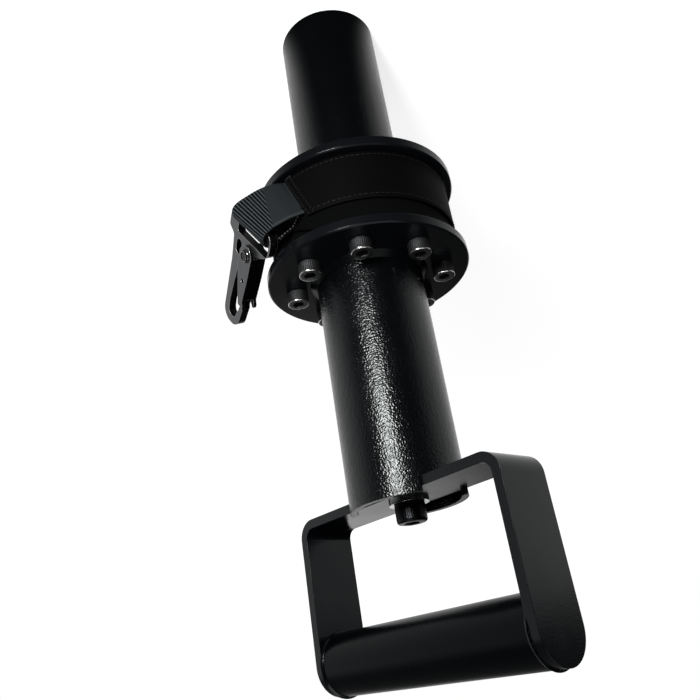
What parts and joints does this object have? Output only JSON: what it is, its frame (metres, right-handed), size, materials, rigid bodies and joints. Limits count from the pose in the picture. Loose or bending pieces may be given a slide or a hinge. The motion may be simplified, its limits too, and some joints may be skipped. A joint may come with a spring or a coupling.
{
  "type": "twin-grip arm trainer",
  "caption": "Hand-held arm and forearm trainer: two coaxial grip tubes with a strap spool between them, a gated snap hook on the strap and a D-handle across one end.",
  "frame": {"origin": "centre of the far grip tube's free end, which the part stands on", "axes": "+Z along the grip tubes towards the D-handle, +X along the D-handle's hand grip, +Y towards the side where the hook hangs"},
  "size_m": [0.1217, 0.1116, 0.3278],
  "materials": {
    "tube_powder_coat": "satin black powder coat, fine orange peel",
    "flange_powder_coat": "satin black powder coat",
    "handle_powder_coat": "satin black powder coat",
    "plug_plastic": "moulded, matte black",
    "hub_metal": "turned",
    "end_plate_steel": "turned",
    "bright_screw_steel": "bright, knurled head",
    "black_screw_steel": "black oxide",
    "zinc_washer": "bright zinc",
    "strap_webbing": "woven polyester webbing",
    "label_band_webbing": "smooth woven band, stitched",
    "hook_webbing": "ribbed webbing, stitched",
    "blackened_hook_steel": "blackened, worn bright at the edges",
    "blackened_gate_steel": "blackened folded sheet",
    "rivet_steel": "worn",
    "spring_steel": "plain"
  },
  "bodies": {
    "base": {"far_grip_tube": "tube_powder_coat", "far_end_plug": "plug_plastic", "far_flange": "flange_powder_coat", "far_flange_weld": "flange_powder_coat", "spool_hub": "hub_metal", "near_flange": "flange_powder_coat", "near_flange_weld": "tube_powder_coat", "near_grip_tube": "tube_powder_coat", "threaded_end_plate": "end_plate_steel", "flange_screws": "bright_screw_steel", "handle_bracket": "handle_powder_coat", "hand_grip_tube": "handle_powder_coat", "hand_grip_welds": "handle_powder_coat", "handle_washer": "zinc_washer", "handle_screw": "black_screw_steel", "strap_winding": "strap_webbing", "strap_label_band": "label_band_webbing", "hook_webbing_loop": "hook_webbing"},
    "hook": {"hook_plate": "blackened_hook_steel", "gate_rivet": "rivet_steel"},
    "gate": {"hook_gate": "blackened_gate_steel", "gate_spring": "spring_steel"}
  },
  "joints": [
    {"name": "hook_swing", "type": "hinge", "parent": "base", "child": "hook", "pos_m": [-0.00912, 0.05462, 0.13118], "axis": [0.5072, -0.1736, 0.8441], "range_deg": [-95, 5]},
    {"name": "gate_pivot", "type": "hinge", "parent": "hook", "child": "gate", "pos_m": [-0.02248, 0.04974, 0.13738], "axis": [0.196, -0.9306, -0.3092], "range_deg": [0, 18], "stiffness_Nm_per_rad": 0.05, "springref_deg": -20.05}
  ]
}
